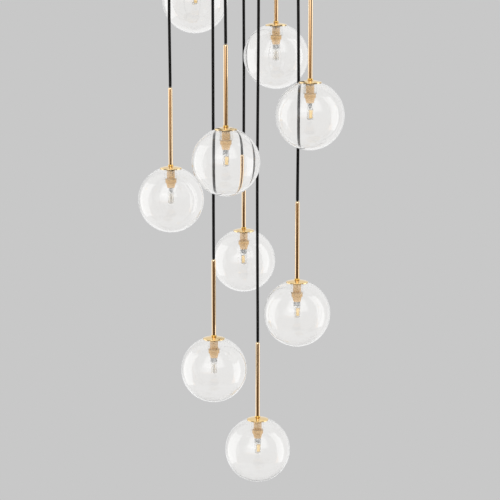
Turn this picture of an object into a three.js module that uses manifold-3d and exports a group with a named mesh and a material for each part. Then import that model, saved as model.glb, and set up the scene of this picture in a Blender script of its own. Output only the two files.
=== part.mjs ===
// Cluster pendant light: nine clear glass globes hung at nine heights from one round ceiling canopy, each on
// its own black cord and slim brass stem, with a small capsule bulb in a brass holder inside the glass.
// Millimetres, +Z up. The origin is on the ceiling, at the middle of the flat top of the ceiling bracket.

import * as THREE from 'three';
import { mergeVertices } from 'three/addons/utils/BufferGeometryUtils.js';
import Module from 'manifold-3d';

const wasm = await Module();
wasm.setup();

// Shared by all pieces: the gap left where two pieces touch, and how far a cutter passes the face it cuts
const seat = 0.3;
const overrun = 2;

// Blown glass globe with a neck tube that turns back into it, closed at the bottom
const globe = {
  radius: 75,
  wall: 2,
  neckWall: 2.4,
  neckOverlap: 2.5,
  lip: 0.8,
  sides: 20,
  quarterSteps: 4,
};

// The nine pendants, highest first: where the cord leaves the canopy, as shares of the globe's radius, the
// length of its cord, as a share of the longest, and how far its bulb was turned when it was plugged in
const pendants = [
  { exitShare: [-1.689, 1.778], lengthShare: 0.1675, bulbTurn: 0.3 },
  { exitShare: [0.8, 1.709], lengthShare: 0.2703, bulbTurn: 0.25 },
  { exitShare: [1.729, -2.173], lengthShare: 0.3565, bulbTurn: 1.15 },
  { exitShare: [-0.701, -1.907], lengthShare: 0.4402, bulbTurn: 0.9 },
  { exitShare: [-2.401, 0.267], lengthShare: 0.5271, bulbTurn: -1.2 },
  { exitShare: [-0.198, 2.569], lengthShare: 0.6667, bulbTurn: -0.6 },
  { exitShare: [1.413, -0.919], lengthShare: 0.7257, bulbTurn: -0.35 },
  { exitShare: [-1.097, -0.464], lengthShare: 0.8373, bulbTurn: 0.15 },
  { exitShare: [0.237, 0.069], lengthShare: 1, bulbTurn: -0.75 },
];
const exits = pendants.map(({ exitShare: [x, y] }) => new THREE.Vector2(x, y).multiplyScalar(globe.radius));

// Round pan of spun steel, open at the top. Its border is the width outside the outermost cord.
const canopy = {
  border: 29,
  depth: 34,
  sheet: 2,
  edgeRound: 6,
  ceilingGap: 1,
  sides: 48,
  arcSteps: 2,
};
canopy.radius = Math.max(...exits.map((exit) => exit.length())) + canopy.border;
canopy.top = -canopy.ceilingGap;
canopy.floor = canopy.top - canopy.depth;

// Cord grip screwed through the canopy's floor, one for each cord, with a round nose that the cord swings on
const grip = {
  nutRadius: 9,
  nutHeight: 3,
  barrelRadius: 6.5,
  length: 12,
  noseRadius: 4.5,
  sides: 8,
  arcSteps: 2,
};
grip.tip = canopy.floor - grip.length;

// Black fabric-covered cord. Its route is shares of its length down and of its diameter sideways.
const cord = {
  diameter: 6.5,
  longest: 1239,
  sides: 8,
  steps: 9,
  swayTurnShare: 0.22,
  routeShares: [
    [0, 0],
    [0.03, 0],
    [0.15, 0.08],
    [0.3, 0.22],
    [0.44, 0.16],
    [0.58, -0.06],
    [0.72, -0.2],
    [0.86, -0.1],
    [0.97, 0],
    [1, 0],
  ],
};

// Brass stem with a round top under the cord and a bead where it meets the cap
const stem = {
  radius: 5,
  length: 180,
  beadRadius: 6.3,
  beadHeight: 3.2,
  sides: 12,
  arcSteps: 2,
};

// Shallow brass dome that covers the globe's mouth and follows the glass
const cap = {
  radius: 25,
  thickness: 1.5,
  sides: 16,
  arcSteps: 2,
};

// Lampholder: an upper body, a collar that the globe's neck sits on, and a cup with the bulb's socket
const holder = {
  bodyRadius: 9.2,
  bodyLength: 24.8,
  collarRadius: 12.6,
  collarLength: 11,
  collarEdge: 1,
  cupTopRadius: 10.5,
  cupEndRadius: 8.4,
  cupLength: 11,
  socketDepth: 9,
  sides: 12,
};

// Capsule bulb: a round base that plugs into the socket, a flat pinch under it and the capsule
const bulb = {
  baseRadius: 6.5,
  baseShown: 1,
  pinchWidth: 15.6,
  pinchDepth: 6.4,
  pinchLength: 10.8,
  pinchOverlap: 0.6,
  capsuleRadius: 7,
  capsuleLength: 25.2,
  tipRound: 3,
  sides: 12,
  arcSteps: 2,
};

// Three-armed steel bracket screwed to the ceiling, each arm ending in a tab behind the canopy's wall
const bracket = {
  plateRadius: 46,
  thickness: 2.5,
  armWidth: 26,
  tabDrop: 20,
  arms: 3,
  firstTurn: Math.PI / 6,
  holeRadius: 2.75,
  holeShare: 0.62,
  cableHoleRadius: 8,
  cableHolePlace: 30,
  sides: 24,
  holeSides: 12,
};

// Side screw through the canopy's wall into each tab
const screw = {
  headRadius: 5,
  headHeight: 3.5,
  shankRadius: 2,
  tail: 4,
  rimShare: 0.7,
  faceShare: 0.8,
  sides: 12,
};

// Terminal block under the bracket's plate, with a row of clamping screws along each side
const block = {
  length: 46,
  width: 20,
  height: 15,
  holeRadius: 1.9,
  holeDepth: 6,
  holeSides: 8,
  columns: 3,
  rowShare: 0.27,
};

// Colours and finishes
const finish = {
  polishedBrass: { color: 0xd9a441, roughness: 0.18, metalness: 1 },
  satinBrass: { color: 0xd8b27a, roughness: 0.35, metalness: 1 },
  blackCord: { color: 0x161412, roughness: 0.75, metalness: 0 },
  clearGlass: { color: 0xf4f5f4, roughness: 0.03, metalness: 0, transparent: true, opacity: 0.3 },
  bulbGlass: { color: 0xe9e6df, roughness: 0.05, metalness: 0, transparent: true, opacity: 0.5 },
  zincSteel: { color: 0x9fa3a6, roughness: 0.45, metalness: 1 },
  whitePlastic: { color: 0xe6e4dd, roughness: 0.5, metalness: 0 },
};

// A polygon with this many sides stands this much further out at its corners than at its flats
const cornerReach = (sides) => 1 / Math.cos(Math.PI / sides);

// Points on an arc about (away, height), from one angle to another
function arc(away, height, radius, from, to, steps) {
  return Array.from({ length: steps + 1 }, (_, i) => {
    const angle = from + ((to - from) * i) / steps;
    return new THREE.Vector2(away + radius * Math.cos(angle), height + radius * Math.sin(angle));
  });
}

const at = (away, height) => new THREE.Vector2(away, height);

// Turned piece about the Z axis. Its outline runs from the axis back to the axis, or closes on itself.
function turned(outline, sides) {
  const upward = THREE.ShapeUtils.area(outline) > 0 ? outline : outline.toReversed();
  return new THREE.LatheGeometry(upward, sides).rotateX(Math.PI / 2);
}

// Closed geometry to boolean solid and back
function solid(geometry) {
  const bare = geometry.clone();
  bare.deleteAttribute('normal');
  bare.deleteAttribute('uv');
  const merged = mergeVertices(bare);
  const corners = merged.index.array;
  const kept = [];
  for (let i = 0; i < corners.length; i += 3) {
    const [a, b, c] = corners.slice(i, i + 3);
    if (a !== b && b !== c && c !== a) kept.push(a, b, c);
  }
  const mesh = new wasm.Mesh({
    numProp: 3,
    vertProperties: new Float32Array(merged.attributes.position.array),
    triVerts: new Uint32Array(kept),
  });
  return new wasm.Manifold(mesh);
}

function geometryOf(piece) {
  const mesh = piece.getMesh();
  const geometry = new THREE.BufferGeometry();
  geometry.setAttribute('position', new THREE.BufferAttribute(mesh.vertProperties, 3));
  geometry.setIndex(new THREE.BufferAttribute(mesh.triVerts, 1));
  geometry.computeVertexNormals();
  return geometry;
}

function named(name, geometry, look) {
  const mesh = new THREE.Mesh(geometry, new THREE.MeshStandardMaterial(look));
  mesh.name = name;
  return mesh;
}

// Where each arm points: the middle of the canopy flat nearest to an even spacing
const facet = (2 * Math.PI) / canopy.sides;
const armTurns = Array.from({ length: bracket.arms }, (_, i) => {
  const even = (2 * Math.PI * i) / bracket.arms + bracket.firstTurn;
  return (Math.floor(even / facet) + 1 / 2) * facet;
});
const wallInside = (canopy.radius - canopy.sheet) / cornerReach(canopy.sides);
const wallOutside = canopy.radius / cornerReach(canopy.sides);
const screwHeight = -(bracket.thickness + bracket.tabDrop) / 2;

// A cylinder along the arm, for the holes that its screw goes through
function sideHole(radius, turn) {
  const length = wallOutside + overrun;
  return new THREE.CylinderGeometry(radius, radius, length, screw.sides)
    .rotateZ(-Math.PI / 2)
    .translate(length / 2 + bracket.plateRadius, 0, screwHeight)
    .rotateZ(turn);
}

function makeCanopy() {
  const { radius, sheet, edgeRound, top, floor, sides, arcSteps } = canopy;
  const bend = floor + edgeRound;
  const pan = solid(turned([
    at(0, floor),
    ...arc(radius - edgeRound, bend, edgeRound, -Math.PI / 2, 0, arcSteps),
    at(radius, top),
    at(radius - sheet, top),
    ...arc(radius - edgeRound, bend, edgeRound - sheet, 0, -Math.PI / 2, arcSteps),
    at(0, floor + sheet),
  ], sides));
  const { nutRadius, nutHeight, barrelRadius, noseRadius, tip } = grip;
  const gripShape = turned([
    ...arc(0, tip + noseRadius, noseRadius, -Math.PI / 2, 0, grip.arcSteps),
    at(barrelRadius, tip + noseRadius),
    at(barrelRadius, floor - nutHeight),
    at(nutRadius, floor - nutHeight),
    at(nutRadius, floor + sheet + nutHeight),
    at(0, floor + sheet + nutHeight),
  ], grip.sides);
  let whole = pan;
  for (const exit of exits) whole = whole.add(solid(gripShape.clone().translate(exit.x, exit.y, 0)));
  for (const turn of armTurns) whole = whole.subtract(solid(sideHole(screw.shankRadius + seat, turn)));
  return named('canopy', geometryOf(whole), finish.polishedBrass);
}

function makeBracket() {
  const { plateRadius, thickness, armWidth, tabDrop, holeRadius, holeShare, cableHoleRadius } = bracket;
  const reach = wallInside - seat;
  const through = thickness + 2 * overrun;
  const hole = (radius, away, turn) =>
    solid(new THREE.CylinderGeometry(radius, radius, through, bracket.holeSides)
      .rotateX(Math.PI / 2)
      .translate(away, 0, -thickness / 2)
      .rotateZ(turn));
  let whole = solid(turned([
    at(0, -thickness),
    at(plateRadius, -thickness),
    at(plateRadius, 0),
    at(0, 0),
  ], bracket.sides));
  for (const turn of armTurns) {
    const arm = new THREE.BoxGeometry(reach, armWidth, thickness)
      .translate(reach / 2, 0, -thickness / 2)
      .rotateZ(turn);
    const tab = new THREE.BoxGeometry(thickness, armWidth, tabDrop + thickness)
      .translate(reach - thickness / 2, 0, -(tabDrop + thickness) / 2)
      .rotateZ(turn);
    whole = whole.add(solid(arm)).add(solid(tab));
    whole = whole.subtract(hole(holeRadius, reach * holeShare, turn));
    whole = whole.subtract(solid(sideHole(screw.shankRadius + seat, turn)));
  }
  whole = whole.subtract(hole(cableHoleRadius, bracket.cableHolePlace, Math.PI / 2));
  return named('ceiling_bracket', geometryOf(whole), finish.zincSteel);
}

function makeScrew(name, turn) {
  const { headRadius, headHeight, shankRadius, tail, rimShare, faceShare, sides } = screw;
  const gripped = canopy.radius - wallInside + seat + bracket.thickness + tail;
  const shape = turned([
    at(0, -gripped),
    at(shankRadius, -gripped),
    at(shankRadius, 0),
    at(headRadius, 0),
    at(headRadius, headHeight * rimShare),
    at(headRadius * faceShare, headHeight),
    at(0, headHeight),
  ], sides);
  shape.rotateY(Math.PI / 2).translate(wallOutside + seat, 0, screwHeight).rotateZ(turn);
  return named(name, shape, finish.polishedBrass);
}

function makeTerminalBlock() {
  const { length, width, height, holeRadius, holeDepth, holeSides, columns, rowShare } = block;
  const top = -bracket.thickness - seat;
  let whole = solid(new THREE.BoxGeometry(length, width, height).translate(0, 0, top - height / 2));
  for (let column = 0; column < columns; column += 1) {
    for (const side of [-1, 1]) {
      const well = new THREE.CylinderGeometry(holeRadius, holeRadius, holeDepth + overrun, holeSides)
        .rotateX(Math.PI / 2)
        .translate(
          (length * (column + 1 / 2)) / columns - length / 2,
          side * rowShare * width,
          top - height + (holeDepth - overrun) / 2,
        );
      whole = whole.subtract(solid(well));
    }
  }
  return named('terminal_block', geometryOf(whole), finish.whitePlastic);
}

function makeCord(name, length, turn) {
  const route = cord.routeShares.map(([down, side]) => new THREE.Vector3(
    side * cord.diameter * Math.cos(turn),
    side * cord.diameter * Math.sin(turn),
    -down * length,
  ));
  const section = new THREE.Shape(arc(0, 0, cord.diameter / 2, 0, 2 * Math.PI, cord.sides).slice(1));
  const shape = new THREE.ExtrudeGeometry(section, {
    steps: cord.steps,
    bevelEnabled: false,
    extrudePath: new THREE.CatmullRomCurve3(route),
  });
  return named(name, shape, finish.blackCord);
}

// Heights in one head, from the top of its stem down
const capTop = -stem.length;
const capUnder = capTop - cap.thickness;
const globeMiddle = capUnder - seat - globe.radius;
const holderTop = globeMiddle + Math.sqrt(globe.radius ** 2 - holder.bodyRadius ** 2) - seat;
const stemEnd = holderTop + seat;
const collarTop = holderTop - holder.bodyLength;
const cupTop = collarTop - holder.collarLength;
const cupEnd = cupTop - holder.cupLength;

function makeStem(name) {
  const { radius, beadRadius, beadHeight, sides, arcSteps } = stem;
  const beadMiddle = capTop + seat + beadHeight / 2;
  const bead = arc(0, 0, 1, Math.PI / 2, -Math.PI / 2, 2 * arcSteps).map(({ x, y }) =>
    at(radius + (beadRadius - radius) * x, beadMiddle + (beadHeight / 2) * y));
  const shape = turned([
    ...arc(0, -radius, radius, Math.PI / 2, 0, arcSteps),
    ...bead,
    at(radius, stemEnd),
    at(0, stemEnd),
  ], sides);
  return named(name, shape, finish.satinBrass);
}

function makeCap(name) {
  const under = globe.radius + seat;
  const over = under + cap.thickness;
  const hole = (stem.radius + seat) * cornerReach(cap.sides);
  const edge = (radius) => Math.acos(cap.radius / radius);
  const inside = (radius) => Math.acos(hole / radius);
  const shape = turned([
    ...arc(0, globeMiddle, under, inside(under), edge(under), cap.arcSteps),
    ...arc(0, globeMiddle, over, edge(over), inside(over), cap.arcSteps),
    at(hole, globeMiddle + under * Math.sin(inside(under))),
  ], cap.sides);
  return named(name, shape, finish.polishedBrass);
}

function makeHolder(name) {
  const { bodyRadius, collarRadius, collarEdge, cupTopRadius, cupEndRadius, socketDepth, sides } = holder;
  const socketRadius = (bulb.baseRadius + seat) * cornerReach(sides);
  const shape = turned([
    at(0, holderTop),
    at(bodyRadius, holderTop),
    at(bodyRadius, collarTop),
    at(collarRadius - collarEdge, collarTop),
    at(collarRadius, collarTop - collarEdge),
    at(collarRadius, cupTop + collarEdge),
    at(collarRadius - collarEdge, cupTop),
    at(cupTopRadius, cupTop),
    at(cupEndRadius, cupEnd),
    at(socketRadius, cupEnd),
    at(socketRadius, cupEnd + socketDepth),
    at(0, cupEnd + socketDepth),
  ], sides);
  return named(name, shape, finish.satinBrass);
}

function makeBulb(name, turn) {
  const { baseRadius, baseShown, pinchWidth, pinchDepth, pinchLength, pinchOverlap, capsuleRadius } = bulb;
  const { capsuleLength, tipRound, sides, arcSteps } = bulb;
  const top = cupEnd + holder.socketDepth - seat;
  const pinchTop = cupEnd - seat;
  const pinchEnd = pinchTop - pinchLength;
  const shoulder = pinchEnd + pinchOverlap;
  const tip = pinchEnd - capsuleLength;
  const core = pinchDepth / 2 - pinchOverlap;
  const round = turned([
    at(0, top),
    at(baseRadius, top),
    at(baseRadius, cupEnd - baseShown),
    at(core, cupEnd - baseShown),
    at(core, shoulder),
    at(baseRadius, shoulder),
    at(capsuleRadius, pinchEnd),
    ...arc(capsuleRadius - tipRound, tip + tipRound, tipRound, 0, -Math.PI / 2, arcSteps),
    at(0, tip),
  ], sides);
  const pinch = new THREE.BoxGeometry(pinchWidth, pinchDepth, pinchLength)
    .translate(0, 0, pinchTop - pinchLength / 2);
  const whole = geometryOf(solid(round).add(solid(pinch))).rotateZ(turn);
  return named(name, whole, finish.bulbGlass);
}

function makeGlobe(name) {
  const { radius, wall, neckWall, neckOverlap, lip, sides, quarterSteps } = globe;
  const bore = (holder.collarRadius + seat) * cornerReach(sides);
  const tube = bore + neckWall;
  const inner = radius - wall;
  const neckEnd = collarTop - neckOverlap;
  const mouth = Math.acos((bore + lip) / radius);
  const root = Math.acos(tube / inner);
  const shape = turned([
    ...arc(0, globeMiddle, radius, -Math.PI / 2, 0, quarterSteps),
    ...arc(0, globeMiddle, radius, 0, mouth, quarterSteps).slice(1),
    at(bore, globeMiddle + radius * Math.sin(mouth) - lip),
    at(bore, neckEnd),
    at(tube, neckEnd),
    ...arc(0, globeMiddle, inner, root, 0, quarterSteps),
    ...arc(0, globeMiddle, inner, 0, -Math.PI / 2, quarterSteps).slice(1),
  ], sides);
  return named(name, shape, finish.clearGlass);
}

// One pendant: the cord hangs from the grip's nose, and the stem hangs from the cord
function makePendant(number, exit, length, bulbTurn) {
  const pendant = new THREE.Group();
  pendant.position.set(exit.x, exit.y, grip.tip - seat);
  pendant.add(makeCord(`cord_${number}`, length, 2 * Math.PI * cord.swayTurnShare * number));
  const head = new THREE.Group();
  head.position.z = -length - seat;
  head.add(makeStem(`stem_${number}`));
  head.add(makeCap(`glass_cap_${number}`));
  head.add(makeHolder(`lampholder_${number}`));
  head.add(makeBulb(`capsule_bulb_${number}`, bulbTurn));
  head.add(makeGlobe(`glass_globe_${number}`));
  pendant.add(head);
  return pendant;
}

const light = new THREE.Group();
light.add(makeBracket());
light.add(makeTerminalBlock());
light.add(makeCanopy());
armTurns.forEach((turn, i) => light.add(makeScrew(`canopy_screw_${i + 1}`, turn)));
pendants.forEach(({ lengthShare, bulbTurn }, i) => {
  light.add(makePendant(i + 1, exits[i], lengthShare * cord.longest, bulbTurn));
});

export default light;
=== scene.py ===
from math import acos, asin, atan, cos, pi, radians, sin, sqrt, tau

import bmesh
import bpy
from mathutils import Matrix, Vector


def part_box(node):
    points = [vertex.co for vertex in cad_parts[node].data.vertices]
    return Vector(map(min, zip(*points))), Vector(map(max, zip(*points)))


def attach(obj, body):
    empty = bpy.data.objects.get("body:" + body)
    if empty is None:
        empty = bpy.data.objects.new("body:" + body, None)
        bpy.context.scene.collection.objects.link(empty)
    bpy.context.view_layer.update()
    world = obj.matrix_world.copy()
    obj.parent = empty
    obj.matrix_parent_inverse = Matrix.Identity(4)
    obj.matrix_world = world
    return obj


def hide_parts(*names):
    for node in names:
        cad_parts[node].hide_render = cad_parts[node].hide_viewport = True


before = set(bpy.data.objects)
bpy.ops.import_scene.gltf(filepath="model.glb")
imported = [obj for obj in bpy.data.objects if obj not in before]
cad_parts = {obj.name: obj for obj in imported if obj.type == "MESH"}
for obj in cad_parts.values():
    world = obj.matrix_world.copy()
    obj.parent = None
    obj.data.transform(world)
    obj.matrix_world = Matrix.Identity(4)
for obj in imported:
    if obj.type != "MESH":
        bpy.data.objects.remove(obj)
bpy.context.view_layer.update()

# Camera. It stands on the light's middle line, four metres off and a third of a metre below the ceiling. It
# looks down at the globes through a long lens, so that the lowest is seen from above and the top of the
# cluster runs out of the picture.
picture_pixels = 500
lens_pixels = 1826
pitch_pixels = 330
sensor_width = 36
camera = bpy.data.objects.new("camera", bpy.data.cameras.new("camera"))
bpy.context.scene.collection.objects.link(camera)
bpy.context.scene.camera = camera
camera.location = (0, -4.1, -0.33)
camera.rotation_euler = (pi / 2 - atan(pitch_pixels / lens_pixels), 0, 0)
camera.data.sensor_width = sensor_width
camera.data.lens = sensor_width * lens_pixels / picture_pixels


# Cords. Nine round flexes in a tight black braid hang from the canopy's grips, each with the faint lazy
# curve that is left from its coil, and end in the tops of the stems. Cut to length from the reel.
pendants = range(1, 10)
cord_diameter = 0.0065
cord_start = -0.0473
cord_gap = 0.0003
cord_bend_turns = 0.22
# Each point of the cord's run: how far down it is as a share of the length, and how far aside in diameters.
cord_route = [(0, 0), (0.03, 0), (0.15, 0.08), (0.3, 0.22), (0.44, 0.16),
              (0.58, -0.06), (0.72, -0.2), (0.86, -0.1), (0.97, 0), (1, 0)]


def finish_of(name, values):
    """A new material with its node tree and its main shader, with values on the shader's own inputs."""
    material = bpy.data.materials.new(name)
    material.use_nodes = True
    shader = material.node_tree.nodes["Principled BSDF"]
    for socket, value in values.items():
        shader.inputs[socket].default_value = value
    return material, material.node_tree, shader


def node(tree, kind, values=None, **settings):
    """A new node with its settings, and with values on its input sockets by name or number."""
    new = tree.nodes.new("ShaderNode" + kind)
    for key, value in settings.items():
        setattr(new, key, value)
    for socket, value in (values or {}).items():
        if isinstance(value, bpy.types.NodeSocket):
            tree.links.new(value, new.inputs[socket])
        else:
            new.inputs[socket].default_value = value
    return new


def maths(tree, operation, *values, **settings):
    """What a sum on sockets or numbers comes to."""
    return node(tree, "Math", dict(enumerate(values)), operation=operation, **settings).outputs[0]


def place_on(tree, scale=(1, 1, 1), turn=(0, 0, 0)):
    """Object coordinates, stretched and turned for a pattern."""
    spot = node(tree, "TexCoord").outputs["Object"]
    return node(tree, "Mapping", {"Vector": spot, "Scale": scale, "Rotation": turn}).outputs[0]


def bump(tree, shader, height, distance):
    """Fine relief that stands up to the distance, in metres, out of the surface."""
    raised = node(tree, "Bump", {"Height": height, "Distance": distance, "Strength": 1.0})
    tree.links.new(raised.outputs[0], shader.inputs["Normal"])


def tint(tree, shader, amount, dark, light, start=0, end=1):
    """Base colour that runs from dark to light as the amount goes from start to end."""
    ramp = node(tree, "ValToRGB", {"Fac": amount})
    for stop, place, colour in zip(ramp.color_ramp.elements, (start, end), (dark, light)):
        stop.position = place
        stop.color = (*colour, 1)
    tree.links.new(ramp.outputs[0], shader.inputs["Base Color"])
    return ramp.outputs[0]


def top_of(part):
    """The point on a part's upright middle line at the part's top."""
    low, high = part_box(part)
    return (low.x + high.x) / 2, (low.y + high.y) / 2, high.z


braid, tree, shader = finish_of("black_braid", {"Roughness": 0.8, "Specular IOR Level": 0.15})
strands = []
for slant in (1, -1):
    wave = node(tree, "TexWave", {
        "Vector": place_on(tree, turn=(0, slant * pi / 5, pi / 4)), "Scale": 210, "Distortion": 0.6,
        "Detail": 1.0}, bands_direction="Z")
    strands.append(wave.outputs["Fac"])
weave_and_groove_shade = maths(tree, "MAXIMUM", *strands)
# The braid is painted darker in the grooves between its strands, following the weave's relief: painted
# shade, not the thread's own colour.
tint(tree, shader, weave_and_groove_shade, (0.002, 0.002, 0.002), (0.009, 0.0085, 0.008))
bump(tree, shader, weave_and_groove_shade, 0.0002)

for number in pendants:
    x, y, stem_top = top_of(f"stem_{number}")
    length = cord_start - (stem_top + cord_gap)
    turn = tau * cord_bend_turns * number
    route = [Vector((x + side * cord_diameter * cos(turn), y + side * cord_diameter * sin(turn),
                     cord_start - down * length)) for down, side in cord_route]
    shape = bpy.data.curves.new(f"cord_{number}_line", "CURVE")
    shape.dimensions = "3D"
    shape.bevel_depth = cord_diameter / 2
    shape.bevel_resolution = 5
    shape.use_fill_caps = True
    # A smooth line through the points of the route, with two more points between each pair.
    reach = [2 * route[0] - route[1], *route, 2 * route[-1] - route[-2]]
    smooth = []
    for before, start, end, after in zip(reach, reach[1:], reach[2:], reach[3:]):
        for step in (0, 1 / 3, 2 / 3):
            smooth.append(0.5 * (2 * start + (end - before) * step
                                 + (2 * before - 5 * start + 4 * end - after) * step ** 2
                                 + (3 * start - before - 3 * end + after) * step ** 3))
    smooth.append(route[-1])
    line = shape.splines.new("POLY")
    line.points.add(len(smooth) - 1)
    for point, spot in zip(line.points, smooth):
        point.co = (*spot, 1)
    line.use_smooth = True
    shape.materials.append(braid)
    flex = bpy.data.objects.new(f"flex_{number}", shape)
    bpy.context.scene.collection.objects.link(flex)
    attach(flex, f"pendant_{number}_cord")
    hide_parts(f"cord_{number}")


# Canopy. A shallow round pan of spun steel, plated and polished like brass, with a rounded lower edge and an
# open top. It hides the ceiling bracket and the wiring, and the nine cords come out of its floor.
canopy_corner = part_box("canopy")[1]
canopy_radius = canopy_corner.x
canopy_top = canopy_corner.z
canopy_depth = 0.034
canopy_floor = canopy_top - canopy_depth
canopy_sheet = 0.002
canopy_bend = 0.006
canopy_edge = 0.0005
sharp_angle = 0.6


def arc(away, height, radius, start, end, steps):
    """Points on an arc about (away, height), from one angle to another."""
    angles = [start + (end - start) * step / steps for step in range(steps + 1)]
    return [(away + radius * cos(angle), height + radius * sin(angle)) for angle in angles]


def soften(shape, edges, width, steps=2):
    """Rounds these edges of a shape, as far in as the width."""
    bmesh.ops.bevel(shape, geom=list(edges), offset=width, offset_type="OFFSET", affect="EDGES",
                    segments=steps, profile=0.5, material=-1, clamp_overlap=True)


def turned(outline, segments, closed=False, edge=0):
    """A turned shape about the Z axis from an outline of (away, height), with its sharp rims rounded."""
    shape = bmesh.new()
    corners = [shape.verts.new((away, 0, height)) for away, height in outline]
    pairs = list(zip(corners, corners[1:])) + ([(corners[-1], corners[0])] if closed else [])
    lines = [shape.edges.new(pair) for pair in pairs]
    bmesh.ops.spin(shape, geom=corners + lines, cent=(0, 0, 0), axis=(0, 0, 1), angle=tau,
                   steps=segments, use_merge=True, use_duplicate=False)
    bmesh.ops.remove_doubles(shape, verts=shape.verts, dist=1e-6)
    bmesh.ops.recalc_face_normals(shape, faces=shape.faces)
    if edge:
        soften(shape, [rim for rim in shape.edges
                       if rim.is_manifold and rim.calc_face_angle() > sharp_angle], edge)
    return shape


def piece_of(name, shape, material, body, replaces=(), crease=sharp_angle):
    """The finished piece: smooth faces with creases at its sharp edges, riding on its body."""
    mesh = bpy.data.meshes.new(name)
    shape.to_mesh(mesh)
    shape.free()
    mesh.shade_smooth()
    mesh.set_sharp_from_angle(angle=crease)
    mesh.materials.append(material)
    piece = bpy.data.objects.new(name, mesh)
    bpy.context.scene.collection.objects.link(piece)
    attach(piece, body)
    if replaces:
        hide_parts(*replaces)


def mottle(tree, scale, detail, stretch=(1, 1, 1)):
    """Soft random patches, stretched along the axes."""
    return node(tree, "TexNoise", {
        "Vector": place_on(tree, scale=stretch), "Scale": scale, "Detail": detail}).outputs["Fac"]


def dull(tree, shader, amount, low, high):
    """Roughness that runs from low to high with the amount."""
    rough = node(tree, "MapRange", {"Value": amount, "To Min": low, "To Max": high}).outputs[0]
    tree.links.new(rough, shader.inputs["Roughness"])


def brass(name, tone, roughness, grain_stretch, grain_depth):
    """Brass of one tone, with fine grain along or across it and roughness that wanders a little."""
    material, tree, shader = finish_of(name, {"Metallic": 1})
    tint(tree, shader, mottle(tree, 45, 3.0),
         [value * 0.9 for value in tone], [min(1, value * 1.06) for value in tone])
    grain = mottle(tree, 100, 4.0, grain_stretch)
    dull(tree, shader, grain, roughness * 0.75, roughness * 1.3)
    bump(tree, shader, grain, grain_depth)
    return material


polished_brass = brass("polished_brass", (0.8, 0.59, 0.29), 0.12, (1, 1, 12), 0.00001)
bend_middle = (canopy_radius - canopy_bend, canopy_floor + canopy_bend)
pan = turned([
    (0, canopy_floor),
    *arc(*bend_middle, canopy_bend, -pi / 2, 0, 8),
    (canopy_radius, canopy_top),
    (canopy_radius - canopy_sheet, canopy_top),
    *arc(*bend_middle, canopy_bend - canopy_sheet, 0, -pi / 2, 8),
    (0, canopy_floor + canopy_sheet),
], 128, edge=canopy_edge)
piece_of("canopy_pan", pan, polished_brass, "ceiling_mounting", ["canopy"])


# Cord grips. A turned brass gland for each cord: a round nose that the cord leaves, a six-sided flange under
# the pan and a six-sided nut inside it. The screw in its side clamps the cord at the set length.
grip_length = 0.012
grip_tip = canopy_floor - grip_length
grip_nose = 0.0045
grip_nose_middle = grip_tip + grip_nose
grip_barrel = 0.0065
grip_step = 0.0004
grip_chamfer = 0.0006
grip_nut = 0.009
grip_nut_height = 0.003
grip_nut_edge = 0.0004
clamp_radius = 0.0012
clamp_depth = 0.0006
clamp_height = grip_tip + 0.0075


def move(shape, matrix):
    """Moves and turns a whole shape."""
    bmesh.ops.transform(shape, matrix=matrix, verts=shape.verts)


for number in pendants:
    barrel = turned([
        *arc(0, grip_nose_middle, grip_nose, -pi / 2, 0, 10),
        (grip_barrel - grip_chamfer, grip_nose_middle + grip_step),
        (grip_barrel, grip_nose_middle + grip_step + grip_chamfer),
        (grip_barrel, canopy_floor),
        (0, canopy_floor),
    ], 32)
    for foot in (canopy_floor - grip_nut_height, canopy_floor + canopy_sheet):
        nut = bmesh.ops.create_cone(
            barrel, cap_ends=True, segments=6, radius1=grip_nut, radius2=grip_nut, depth=grip_nut_height,
            matrix=Matrix.Translation((0, 0, foot + grip_nut_height / 2)))
        soften(barrel, {edge for corner in nut["verts"] for edge in corner.link_edges}, grip_nut_edge)
    bmesh.ops.create_cone(
        barrel, cap_ends=True, segments=12, radius1=clamp_radius, radius2=clamp_radius, depth=clamp_depth,
        matrix=Matrix.Translation((0, -grip_barrel, clamp_height)) @ Matrix.Rotation(pi / 2, 4, "X"))
    x, y = top_of(f"stem_{number}")[:2]
    move(barrel, Matrix.Translation((x, y, 0)))
    piece_of(f"cord_grip_{number}", barrel, polished_brass, "ceiling_mounting")


# Ceiling bracket. One pressed sheet of zinc-plated steel with three arms, each with a hole for a ceiling
# screw and a tab turned down at its end, where a side screw through the canopy's wall holds the canopy. The
# supply cable comes through the large hole.
bracket_plate = 0.046
bracket_sheet = 0.0025
bracket_arm = 0.026
bracket_tab = 0.020
bracket_tab_cut = 0.003
bracket_tab_hole = 0.0023
bracket_screw_hole = 0.00275
bracket_screw_hole_share = 0.62
bracket_cable_hole = 0.008
bracket_cable_hole_place = 0.030
bracket_gap = 0.0003
slab_edge = 0.0004
slab_rim_angle = 0.9
# The CAD's canopy wall has 48 flats. Each arm points at the middle of one, which lies a little inside the
# round wall.
wall_flat = cos(pi / 48)
bracket_turns = [radians(33.75 + 120 * arm) for arm in range(3)]
bracket_reach = (canopy_radius - canopy_sheet) * wall_flat - bracket_gap
tab_drop = bracket_tab + bracket_sheet


def ring(x, y, radius, corners):
    """The corners of a round hole."""
    return arc(x, y, radius, 0, tau * (corners - 1) / corners, corners - 1)


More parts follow.
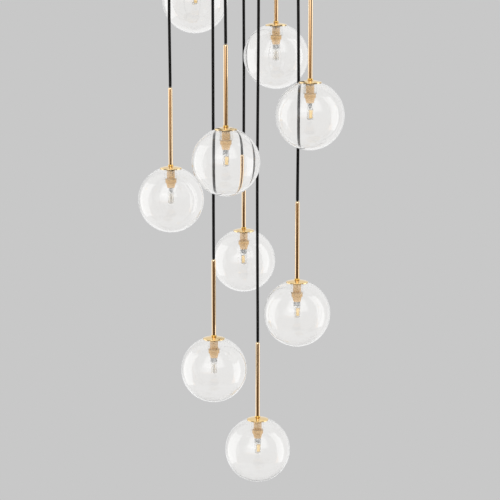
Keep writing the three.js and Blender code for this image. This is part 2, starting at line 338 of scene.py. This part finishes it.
def slab(rims, thickness):
    """A flat plate under height nothing, cut to the first rim, holed along the rest, with softened edges."""
    pattern = bpy.data.curves.new("pattern", "CURVE")
    pattern.dimensions = "2D"
    pattern.fill_mode = "BOTH"
    pattern.extrude = thickness / 2
    for rim in rims:
        line = pattern.splines.new("POLY")
        line.points.add(len(rim) - 1)
        for point, (x, y) in zip(line.points, rim):
            point.co = (x, y, 0, 1)
        line.use_cyclic_u = True
    carrier = bpy.data.objects.new("pattern", pattern)
    shape = bmesh.new()
    shape.from_mesh(carrier.to_mesh())
    bpy.data.objects.remove(carrier)
    bmesh.ops.remove_doubles(shape, verts=shape.verts, dist=1e-6)
    bmesh.ops.recalc_face_normals(shape, faces=shape.faces)
    move(shape, Matrix.Translation((0, 0, -thickness / 2)))
    soften(shape, [rim for rim in shape.edges
                   if rim.is_manifold and rim.calc_face_angle() > slab_rim_angle], slab_edge)
    return shape


def absorb(shape, other):
    """Puts all of the other shape into this one."""
    carried = bpy.data.meshes.new("carried")
    other.to_mesh(carried)
    other.free()
    shape.from_mesh(carried)
    bpy.data.meshes.remove(carried)


zinc, tree, shader = finish_of("zinc_plate", {"Metallic": 1})
spangle = node(tree, "TexVoronoi", {"Vector": place_on(tree), "Scale": 180}).outputs["Distance"]
tint(tree, shader, spangle, (0.5, 0.52, 0.54), (0.62, 0.63, 0.65))
dull(tree, shader, spangle, 0.35, 0.5)

half = bracket_arm / 2
arm_spread = asin(half / bracket_plate)
sheet_rim = []
sheet_holes = [ring(0, bracket_cable_hole_place, bracket_cable_hole, 32)]
for turn, following in zip(bracket_turns, [*bracket_turns[1:], bracket_turns[0] + tau]):
    along, across = Vector((cos(turn), sin(turn))), Vector((-sin(turn), cos(turn)))
    sheet_rim += [along * bracket_reach - across * half, along * bracket_reach + across * half]
    sheet_rim += arc(0, 0, bracket_plate, turn + arm_spread, following - arm_spread, 24)
    hole = along * bracket_screw_hole_share * bracket_reach
    sheet_holes.append(ring(hole.x, hole.y, bracket_screw_hole, 20))
bracket = slab([sheet_rim, *sheet_holes], bracket_sheet)
for turn in bracket_turns:
    tab = slab([[(-half, 0), (half, 0), (half, bracket_tab_cut - tab_drop),
                 (half - bracket_tab_cut, -tab_drop), (bracket_tab_cut - half, -tab_drop),
                 (-half, bracket_tab_cut - tab_drop)],
                ring(0, -tab_drop / 2, bracket_tab_hole, 16)], bracket_sheet)
    move(tab, Matrix.Rotation(turn, 4, "Z") @ Matrix.Translation((bracket_reach, 0, 0))
         @ Matrix.Rotation(pi / 2, 4, "Z") @ Matrix.Rotation(pi / 2, 4, "X"))
    absorb(bracket, tab)
piece_of("bracket_sheet", bracket, zinc, "ceiling_mounting", ["ceiling_bracket"])


# Terminal block. Moulded white plastic under the bracket's plate, with a row of brass clamping screws down
# in wells along each side, where the nine flexes join the supply cable.
well = 0.0019
well_depth = 0.006
well_row_share = 0.27
well_screw = well - 0.0002
well_screw_height = 0.001
well_screw_place = 0.004

white_plastic, tree, shader = finish_of("white_plastic", {"Base Color": (0.72, 0.7, 0.64, 1)})
grain = mottle(tree, 400, 2.0)
dull(tree, shader, grain, 0.4, 0.55)
bump(tree, shader, grain, 0.00002)

block_low, block_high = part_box("terminal_block")
block_x, block_y, block_top = top_of("terminal_block")
size = block_high - block_low
wells = [(size.x * column / 3, side * well_row_share * size.y) for column in (-1, 0, 1) for side in (-1, 1)]
outline = [(x * size.x / 2, y * size.y / 2) for x, y in ((-1, -1), (1, -1), (1, 1), (-1, 1))]
block = slab([outline, *[ring(x, y, well, 20) for x, y in wells]], well_depth)
move(block, Matrix.Translation((block_x, block_y, block_low.z + well_depth)))
back = slab([outline], size.z - well_depth)
move(back, Matrix.Translation((block_x, block_y, block_top)))
absorb(block, back)
piece_of("terminal_block_body", block, white_plastic, "ceiling_mounting",
         ["terminal_block"])
for number, (x, y) in enumerate(wells, 1):
    head = turned([(0, 0), (well_screw - 0.0002, 0), (well_screw, 0.0003), (well_screw, well_screw_height),
                   (0, well_screw_height)], 24)
    move(head, Matrix.Translation((block_x + x, block_y + y, block_low.z + well_screw_place)))
    piece_of(f"terminal_screw_{number}", head, polished_brass, "ceiling_mounting")


# Side screws. Three brass screws with round knurled heads go through the canopy's wall into the bracket's
# tabs, and come out by hand to lower the canopy.
screw_shank = 0.002
screw_length = 0.0093
screw_head = 0.005
screw_head_depth = 0.0035
screw_head_curve = 0.0009
knurl_corners = 48
knurl_share = 0.95
screw_root = canopy_radius * wall_flat + bracket_gap
for number, turn in enumerate(bracket_turns, 1):
    screw = turned([
        (0, -screw_length), (screw_shank, -screw_length), (screw_shank, 0), (screw_head - 0.0005, 0),
        (screw_head, 0.0004), (screw_head, screw_head_depth - screw_head_curve),
        *arc(screw_head - screw_head_curve, screw_head_depth - screw_head_curve, screw_head_curve,
             0, pi / 2, 4),
        (0, screw_head_depth),
    ], knurl_corners)
    # Every second corner round the head's rim is drawn in.
    for corner in screw.verts:
        place = round(corner.co.xy.angle_signed(Vector((1, 0)), 0) / tau * knurl_corners)
        if corner.co.xy.length > screw_head - 0.0001 and place % 2:
            corner.co.xy *= knurl_share
    move(screw, Matrix.Rotation(turn, 4, "Z") @ Matrix.Translation((screw_root, 0, -tab_drop / 2))
         @ Matrix.Rotation(pi / 2, 4, "Y"))
    piece_of(f"side_screw_{number}", screw, polished_brass, "ceiling_mounting",
             [f"canopy_screw_{number}"])


# Stems. Slim drawn brass tubes, brushed along their length and lacquered. The cord goes in at the rounded
# top, and a turned bead at the foot sits on the glass cap.
stem_radius = 0.005
stem_length = 0.180
bead_radius = 0.0063
bead_height = 0.0032
bead_gap = 0.00002
bead_seat = 0.0003
bead_root = stem_radius + bead_gap
bead_foot = bead_seat - stem_length

stem_brass = brass("brushed_brass", (0.64, 0.49, 0.32), 0.1, (1, 1, 0.03), 0.000008)
bead_brass = brass("bright_brass", (0.68, 0.44, 0.1), 0.12, (1, 1, 12), 0.000005)
for number in pendants:
    stem_low, stem_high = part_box(f"stem_{number}")
    top = top_of(f"stem_{number}")
    stem = turned([
        (0, 0),
        *arc(0, -stem_radius, stem_radius, pi / 2 - 0.1, 0, 10),
        (stem_radius, stem_low.z - stem_high.z),
        (0, stem_low.z - stem_high.z),
    ], 40)
    move(stem, Matrix.Translation(top))
    piece_of(f"brass_stem_{number}", stem, stem_brass, f"pendant_{number}_stem",
             [f"stem_{number}"])
    # Half an ellipse, turned round the tube.
    bead = turned([
        (bead_root + (bead_radius - bead_root) * away, bead_foot + bead_height / 2 * (1 + height))
        for away, height in arc(0, 0, 1, pi / 2, -pi / 2, 12)
    ], 48, closed=True)
    move(bead, Matrix.Translation(top))
    piece_of(f"stem_bead_{number}", bead, bead_brass, f"pendant_{number}_stem")


# Glass caps. A shallow polished brass dome on each globe, pressed from sheet to the glass's own curve. It
# covers the mouth of the glass, and the stem goes through its middle.
globe_radius = 0.075
cap_sheet = 0.0015
cap_gap = 0.0003
cap_edge = 0.0004
cap_hole = stem_radius + cap_gap
cap_under = globe_radius + cap_gap
cap_over = cap_under + cap_sheet
for number in pendants:
    cap_low, cap_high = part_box(f"glass_cap_{number}")
    cap_radius = (cap_high.x - cap_low.x) / 2
    cap = turned([
        *arc(0, -cap_over, cap_under, acos(cap_hole / cap_under), acos(cap_radius / cap_under), 10),
        *arc(0, -cap_over, cap_over, acos(cap_radius / cap_over), acos(cap_hole / cap_over), 10),
    ], 96, closed=True, edge=cap_edge)
    x, y, stem_top = top_of(f"stem_{number}")
    move(cap, Matrix.Translation((x, y, stem_top - stem_length)))
    piece_of(f"brass_cap_{number}", cap, polished_brass, f"pendant_{number}_stem",
             [f"glass_cap_{number}"])


# Lampholders. A turned brass body that hangs from the stem inside the neck of the glass, a wider collar that
# the neck sits on, and a tapered cup around the ceramic socket that takes the bulb's pins.
collar_drop = 0.0248
cup_end = 0.0468
cup_bore = 0.00685
cup_floor = 0.0378
holder_edge = 0.00015

holder_brass = brass("satin_brass", (0.86, 0.59, 0.32), 0.26, (1, 1, 6), 0.000008)
for number in pendants:
    # Down the body with its two grooves, out and round the collar, down the cup and up into the socket.
    holder = turned([
        (0, 0), (0.0086, 0), (0.0092, -0.0006), (0.0092, -0.0035), (0.0088, -0.0041), (0.0088, -0.0055),
        (0.0092, -0.0061), (0.0092, -0.0222), (0.0088, -0.0228), (0.0088, -collar_drop),
        (0.0121, -collar_drop), (0.0126, -0.0252), (0.0126, -0.0322), (0.0122, -0.0325), (0.0122, -0.0329),
        (0.0126, -0.0332), (0.0126, -0.0354), (0.0121, -0.0358),
        (0.0105, -0.0359), (0.0102, -0.0383), (0.0096, -0.0410), (0.0088, -0.0438), (0.0083, -cup_end),
        (cup_bore, -cup_end), (cup_bore, -cup_floor), (0, -cup_floor),
    ], 48, edge=holder_edge)
    move(holder, Matrix.Translation(top_of(f"lampholder_{number}")))
    piece_of(f"brass_holder_{number}", holder, holder_brass, f"pendant_{number}_stem",
             [f"lampholder_{number}"])


# Capsule bulbs. A hollow capsule of milky quartz pinched flat above, where two metal foils are sealed in
# the glass and lead to the pins. A white ceramic collar on the pins fills the socket. A ceramic bar stands
# inside the capsule, coated on both faces with yellow phosphor. Each bulb stands as it was plugged in.
base_radius = 0.0065
base_end = -0.0097
base_edge = 0.0004
pinch_width = 0.0156
pinch_depth = 0.0064
pinch_top = -0.009
pinch_end = -0.0198
pinch_edge = 0.0012
capsule_radius = 0.007
capsule_wall = 0.0008
capsule_shoulder = 0.0015
capsule_tip = 0.0035
capsule_dome = 0.0040
capsule_dome_drop = 0.0050
foil_size = (0.0062, 0.0022, 0.0082)
foil_places = [(side * 0.0038, 0, -0.0144) for side in (-1, 1)]
foil_edge = 0.0004
bar_place = (0.0016, 0, -0.0330)
bar_size = (0.0078, 0.0018, 0.0190)
coat_size = (0.0070, 0.00016, 0.0176)
coat_places = [(0, side * 0.00098, 0) for side in (-1, 1)]
bar_edge = 0.00005
bulb_turns = [0.3, 0.25, 1.15, 0.9, -1.2, -0.6, -0.35, 0.15, -0.75]
bar_turns = [0.3, 1.57, 0.15, 0.1, 1.6, 3.6, 0.4, 1.55, 0.15]


def blocks(size, places, edge, steps=2):
    """Blocks of one size, one about each place, with rounded edges."""
    shape = bmesh.new()
    for place in places:
        bmesh.ops.create_cube(shape, size=1, matrix=Matrix.LocRotScale(Vector(place), None, Vector(size)))
    soften(shape, shape.edges, edge, steps)
    return shape


def ceramic(name, tone):
    """Fired ceramic with a fine grain that shows in its gloss."""
    material, tree, shader = finish_of(name, {"Base Color": (*tone, 1)})
    dull(tree, shader, mottle(tree, 900, 2.0), 0.5, 0.7)
    return material


quartz, tree, shader = finish_of("quartz", {
    "Base Color": (0.99, 0.985, 0.97, 1), "Roughness": 0.12, "IOR": 1.16, "Transmission Weight": 0.9})
bump(tree, shader, mottle(tree, 160, 1.0), 0.0002)

foil, tree, shader = finish_of("grey_foil", {"Metallic": 0.5, "Roughness": 0.4})
crumple_and_crease_shade = mottle(tree, 420, 2.0)
# The foil is painted near black where its crumpled relief dips: painted shade in its creases. The light grey
# on the ridges is its own colour.
tint(tree, shader, crumple_and_crease_shade, (0.1, 0.105, 0.115), (0.8, 0.81, 0.82), start=0.3, end=0.5)
bump(tree, shader, crumple_and_crease_shade, 0.0004)

# The phosphor is given a faint painted glow through its emission, though the bulb is not lit.
phosphor, tree, shader = finish_of("yellow_phosphor_painted_glow", {"Emission Strength": 0.55, "Roughness": 0.6})
speckle = mottle(tree, 700, 2.0)
glow = tint(tree, shader, speckle, (0.9, 0.6, 0.2), (0.95, 0.72, 0.34))
tree.links.new(glow, shader.inputs["Emission Color"])
bump(tree, shader, speckle, 0.00005)

white_ceramic = ceramic("white_ceramic", (0.86, 0.855, 0.83))
grey_ceramic = ceramic("grey_ceramic", (0.5, 0.5, 0.52))

for number in pendants:
    bulb_low, bulb_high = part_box(f"capsule_bulb_{number}")
    tip = bulb_low.z - bulb_high.z
    stand, bar_stand = [
        Matrix.Translation(top_of(f"capsule_bulb_{number}")) @ Matrix.Rotation(turns[number - 1], 4, "Z")
        for turns in (bulb_turns, bar_turns)]
    collar = turned([
        (0, 0), (base_radius - base_edge, 0), (base_radius, -base_edge),
        (base_radius, base_end + base_edge), (base_radius - base_edge, base_end), (0, base_end),
    ], 32)
    # The quartz outside, with its top hidden in the pinch, and the hollow in it.
    capsule = turned([
        (0, pinch_end + 0.0014), (0.0030, pinch_end + 0.0012), (0.0052, pinch_end + 0.0004),
        *arc(capsule_radius - capsule_shoulder, pinch_end - 0.0012, capsule_shoulder, radians(60), 0, 4),
        *arc(capsule_radius - capsule_tip, tip + capsule_tip, capsule_tip, 0, -pi / 2, 8),
        (0, tip),
    ], 32)
    hollow = turned([
        (0, pinch_end - 0.0009),
        *arc(0, pinch_end - capsule_dome_drop, capsule_dome, radians(70), radians(20), 4),
        *arc(capsule_radius - capsule_tip, tip + capsule_tip, capsule_tip - capsule_wall, 0, -pi / 2, 6),
        (0, tip + capsule_wall),
    ], 32)
    bmesh.ops.reverse_faces(hollow, faces=hollow.faces)
    absorb(capsule, hollow)
    absorb(capsule, blocks((pinch_width, pinch_depth, pinch_top - pinch_end),
                           [(0, 0, (pinch_top + pinch_end) / 2)], pinch_edge, 3))
    foils = blocks(foil_size, foil_places, foil_edge)
    bar = blocks(bar_size, [(0, 0, 0)], bar_edge)
    coat = blocks(coat_size, coat_places, bar_edge)
    for label, shape, material, place, replaced in (
            ("bulb_collar", collar, white_ceramic, stand, []),
            ("quartz_capsule", capsule, quartz, stand, [f"capsule_bulb_{number}"]),
            ("bulb_foils", foils, foil, stand, []),
            ("ceramic_bar", bar, grey_ceramic, bar_stand @ Matrix.Translation(bar_place), []),
            ("phosphor_coat", coat, phosphor, bar_stand @ Matrix.Translation(bar_place), [])):
        move(shape, place)
        piece_of(f"{label}_{number}", shape, material, f"pendant_{number}_bulb", replaced)


# Globes. Clear mouth-blown glass about two millimetres thick, closed below, with the mouth turned back in as
# a neck tube that sits on the lampholder's collar. The wall wanders a little in thickness.
globe_wall = 0.002
globe_inside = globe_radius - globe_wall
neck_bore = 0.01306
neck_tube = 0.0145
neck_round = (neck_tube - neck_bore) / 2
neck_overlap = 0.0025
lip_curve = 0.0008
lip = neck_bore + lip_curve
root_curve = 0.003
root_away = neck_tube + root_curve
root_height = sqrt((globe_inside - root_curve) ** 2 - root_away ** 2)
root_angle = atan(root_height / root_away)

clear_glass, tree, shader = finish_of("blown_glass", {
    "Base Color": (0.996, 0.992, 0.985, 1), "Roughness": 0, "IOR": 1.47, "Transmission Weight": 1})
bump(tree, shader, mottle(tree, 14, 1.0), 0.0001)

for number in pendants:
    globe_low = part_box(f"glass_globe_{number}")[0]
    x, y, globe_top = top_of(f"glass_globe_{number}")
    middle = Vector((x, y, globe_low.z + globe_radius))
    mouth = globe_top - middle.z
    neck_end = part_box(f"lampholder_{number}")[1].z - collar_drop - neck_overlap - middle.z
    globe = turned([
        (0, -globe_radius),
        *arc(0, 0, globe_radius, radians(-88), atan(mouth / lip), 60),
        *arc(lip, mouth - lip_curve, lip_curve, pi / 2 + 0.2, pi, 4),
        (neck_bore, neck_end + 0.0006),
        *arc(neck_bore + neck_round, neck_end + neck_round, neck_round, pi, tau, 6),
        *arc(root_away, root_height, root_curve, pi, root_angle, 6),
        *arc(0, 0, globe_inside, root_angle - 0.02, radians(-88), 56),
        (0, -globe_inside),
    ], 96)
    move(globe, Matrix.Translation(middle))
    piece_of(f"glass_{number}", globe, clear_glass, f"pendant_{number}_globe",
             [f"glass_globe_{number}"], crease=1.2)


# Studio. A plain pale floor well under the lowest globe, a flat grey backdrop, large soft lamps on both
# sides and in front, and a room around them that only the glass and the metal show.
floor_radius = 1.6
floor_height = -2.35
floor_fade_start = 0.8
floor_fade_end = 1.55
floor, tree, shader = finish_of("pale_floor", {"Base Color": (0.62, 0.62, 0.62, 1), "Roughness": 0.9})
spot = node(tree, "TexCoord").outputs["Object"]
away = node(tree, "VectorMath", {0: spot}, operation="LENGTH").outputs["Value"]
fade = node(tree, "MapRange", {"Value": away, "From Min": floor_fade_start, "From Max": floor_fade_end},
            interpolation_type="SMOOTHSTEP").outputs[0]
clear = node(tree, "BsdfTransparent").outputs[0]
edge_mix = node(tree, "MixShader", {0: fade, 1: shader.outputs[0], 2: clear}).outputs[0]
tree.links.new(edge_mix, tree.nodes["Material Output"].inputs["Surface"])
ground = bmesh.new()
bmesh.ops.create_circle(ground, cap_ends=True, segments=96, radius=floor_radius)
ground_mesh = bpy.data.meshes.new("floor")
ground.to_mesh(ground_mesh)
ground.free()
ground_mesh.materials.append(floor)
ground_piece = bpy.data.objects.new("floor", ground_mesh)
ground_piece.location = (0, 0, floor_height)
bpy.context.scene.collection.objects.link(ground_piece)

lamp_aim = Vector((0, 0, -0.9))
for name, place, size, power in (
        ("left_soft_lamp", (-2.6, -0.6, -0.4), 1.8, 55),
        ("right_soft_lamp", (2.6, -0.4, -0.5), 1.6, 30),
        ("front_soft_lamp", (0.2, -3.2, 1.6), 2.0, 30)):
    lamp = bpy.data.objects.new(name, bpy.data.lights.new(name, "AREA"))
    lamp.data.size = size
    lamp.data.energy = power
    lamp.location = place
    lamp.rotation_euler = (lamp_aim - Vector(place)).to_track_quat("-Z", "Y").to_euler()
    lamp.visible_camera = False
    lamp.visible_glossy = False
    lamp.visible_transmission = False
    bpy.context.scene.collection.objects.link(lamp)

# The room is painted by direction. Bearing is the angle round the light in radians: nothing towards the
# viewer, below nothing to the left and half a turn straight behind. Up is the sine of the angle above level.
backdrop_grey = 0.5776
even_light = 0.55
warm_shade = (1, 0.66, 0.38, 1)
box_head_lean = 0.38
box_foot_lean = 0.166
dark_reach = 1.12
dark_spread = 0.75
world = bpy.data.worlds.new("studio")
world.use_nodes = True
bpy.context.scene.world = world
tree = world.node_tree
backdrop = tree.nodes["Background"]
look = node(tree, "TexCoord").outputs["Generated"]
east, north, up = node(tree, "SeparateXYZ", {0: look}).outputs
bearing = maths(tree, "ARCTAN2", east, maths(tree, "MULTIPLY", north, -1.0))


def past(value, edge, soft):
    """One where the value is past the edge. With soft below nothing, one where it is short of the edge."""
    return node(tree, "MapRange", {"Value": value, "From Min": edge - soft, "From Max": edge + soft},
                interpolation_type="SMOOTHSTEP").outputs[0]


def both(*values):
    """The values multiplied together: one only where all of them are."""
    result = values[0]
    for value in values[1:]:
        result = maths(tree, "MULTIPLY", result, value)
    return result


def between(value, start, end, soft_start, soft_end):
    """One between start and end, with a soft edge at each."""
    return both(past(value, start, soft_start), past(value, end, -soft_end))


def total(*terms):
    """The sum of value times weight."""
    products = [maths(tree, "MULTIPLY", value, weight) for value, weight in terms]
    result = products[0]
    for product in products[1:]:
        result = maths(tree, "ADD", result, product)
    return result


def soft_box(start, end, side, head, foot):
    """A tall bright box between two bearings, on the right (1) or left (-1), taller towards the viewer.
    Head and foot are the heights at which its leaning edges, run on, would cross bearing nothing."""
    return both(between(bearing, radians(start), radians(end), 0.02, 0.02),
                past(total((up, 1.0), (bearing, side * box_head_lean)), head, -0.02),
                past(total((up, 1.0), (bearing, side * -box_foot_lean)), foot, 0.02))


one = node(tree, "Value").outputs[0]
one.default_value = 1.0
steep = maths(tree, "ABSOLUTE", up)
# The two boxes, and the half of the left one that is nearer to the viewer.
left_box = soft_box(-132, -84, -1, 1.276, -0.9155)
right_box = soft_box(74, 108, 1, 1.376, -0.8255)
left_core = both(left_box, past(bearing, radians(-108), 0.3))
# The dark strips of wall behind the boxes, and the floor far behind the light.
left_gap = both(between(bearing, radians(-157), radians(-138), 0.08, 0.1), past(up, -0.3, 0.12))
right_gap = both(between(bearing, radians(108), radians(130), 0.04, 0.06), past(up, -0.3, 0.12))
behind = total((past(bearing, radians(146), 0.25), 1.0), (past(bearing, radians(-146), -0.25), 1.0))
behind_low = both(behind, past(up, -0.3, -0.12))
# The dark room on the viewer's side, wider above and below, with what is lit in it and the ceiling.
dark_room = both(past(total((bearing, 1.0), (steep, dark_spread)), -dark_reach, 0.08),
                 past(total((bearing, 1.0), (steep, -dark_spread)), dark_reach, -0.08))
front_high = both(between(bearing, radians(-40), radians(40), 0.15, 0.15),
                  between(up, 0.3, 0.85, 0.08, 0.08))
front_glow = both(between(bearing, radians(-42), radians(8), 0.4, 0.3),
                  between(up, -0.02, 0.42, 0.12, 0.2))
overhead = past(up, 0.6, 0.12)
mirrored = total((one, 0.95), (dark_room, -0.75), (left_box, 1.2), (left_core, 0.45), (right_box, 1.95),
                 (left_gap, -0.42), (right_gap, -0.3), (behind_low, 0.3), (overhead, 0.15),
                 (front_high, 2.6), (front_glow, 2.7))
seen_through = total((one, 0.825), (left_box, 0.1), (right_box, 0.1))

# The camera sees the plain backdrop, mirrored rays the room, rays through glass a plainer room, and all
# other rays an even light. The lower part of the dark room is warm where it is mirrored.
path = node(tree, "LightPath")
seen = path.outputs["Is Camera Ray"]
refracted = path.outputs["Is Transmission Ray"]
reflected = maths(tree, "SUBTRACT", path.outputs["Is Glossy Ray"], refracted, use_clamp=True)
others = total((seen, 1.0), (reflected, 1.0), (refracted, 1.0))
rest = maths(tree, "SUBTRACT", 1.0, others, use_clamp=True)
strength = total((seen, backdrop_grey), (reflected, mirrored), (refracted, seen_through), (rest, even_light))
shade_only = both(dark_room, past(up, 0.02, -0.1))
# In this node, input 0 is the share, and inputs 6 and 7 are the two colours.
warm = node(tree, "Mix", {0: both(shade_only, reflected), 6: (1, 1, 1, 1), 7: warm_shade},
            data_type="RGBA").outputs[2]
tree.links.new(warm, backdrop.inputs["Color"])
tree.links.new(strength, backdrop.inputs["Strength"])

bpy.context.scene.view_settings.view_transform = "Standard"
